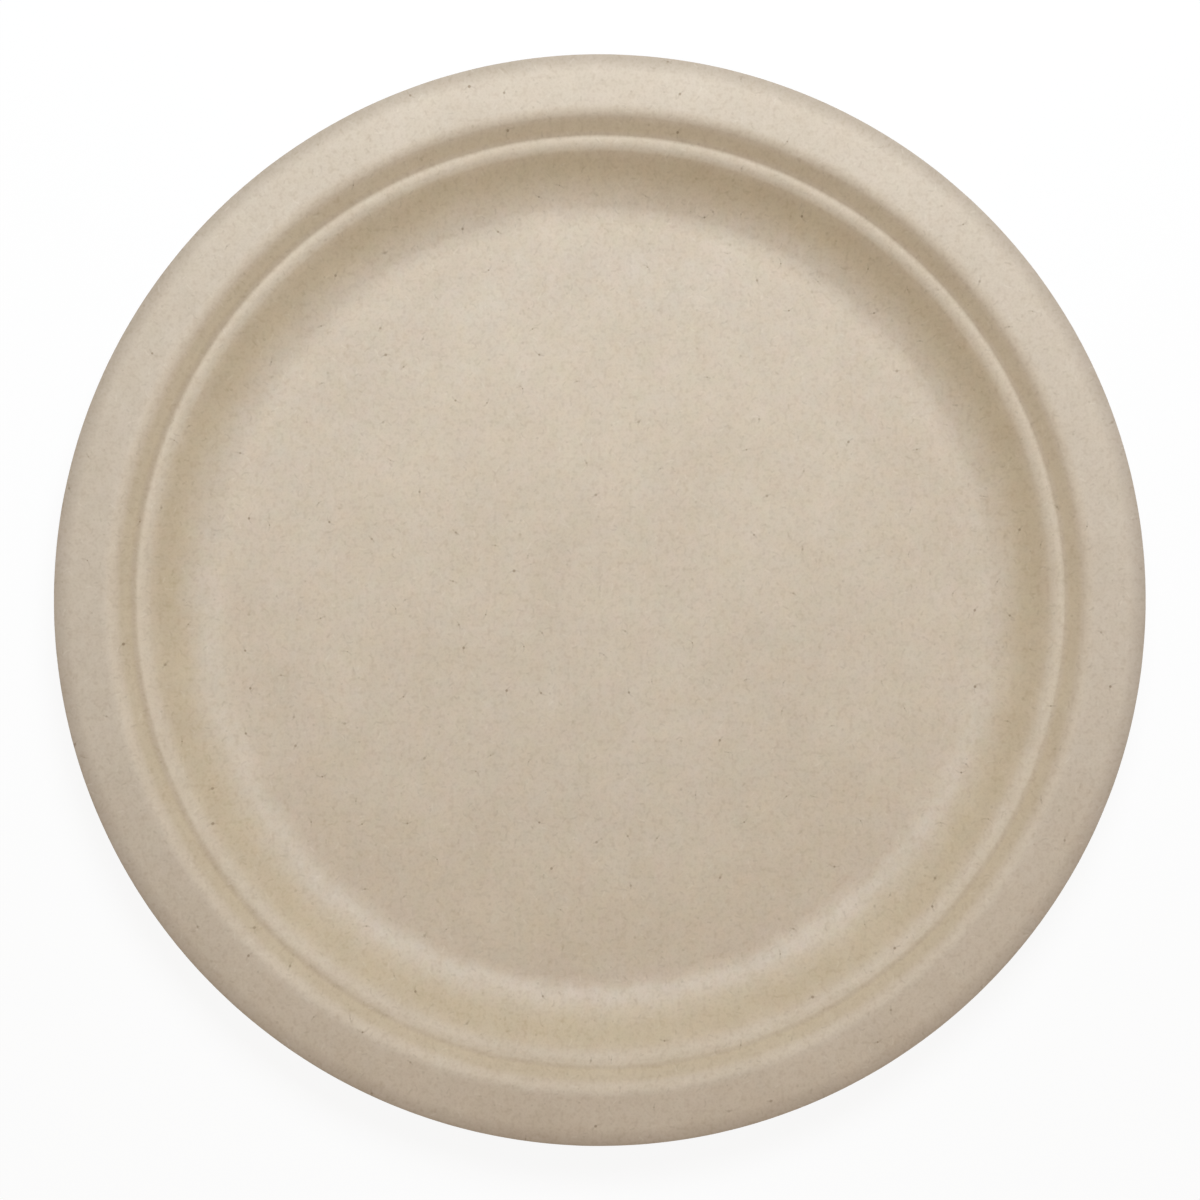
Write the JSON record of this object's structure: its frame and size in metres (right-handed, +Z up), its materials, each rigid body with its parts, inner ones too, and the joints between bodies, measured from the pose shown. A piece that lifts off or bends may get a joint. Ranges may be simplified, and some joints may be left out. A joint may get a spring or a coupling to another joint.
{
  "type": "paper plate",
  "caption": "Round disposable dinner plate of beige moulded fibre with a flat base, stepped wall, ledge and crowned rim with a pressed edge.",
  "frame": {"origin": "centre of the flat underside, on the table", "axes": "+Z up, out of the opening, along the plate's axis; +Y towards the top of the picture"},
  "size_m": [0.228, 0.228, 0.0197],
  "materials": {
    "moulded_fibre": "matt pressed fibre, beige, with fine dark specks and short hair-like fibres"
  },
  "bodies": {
    "root": {"plate": "moulded_fibre"}
  },
  "joints": []
}
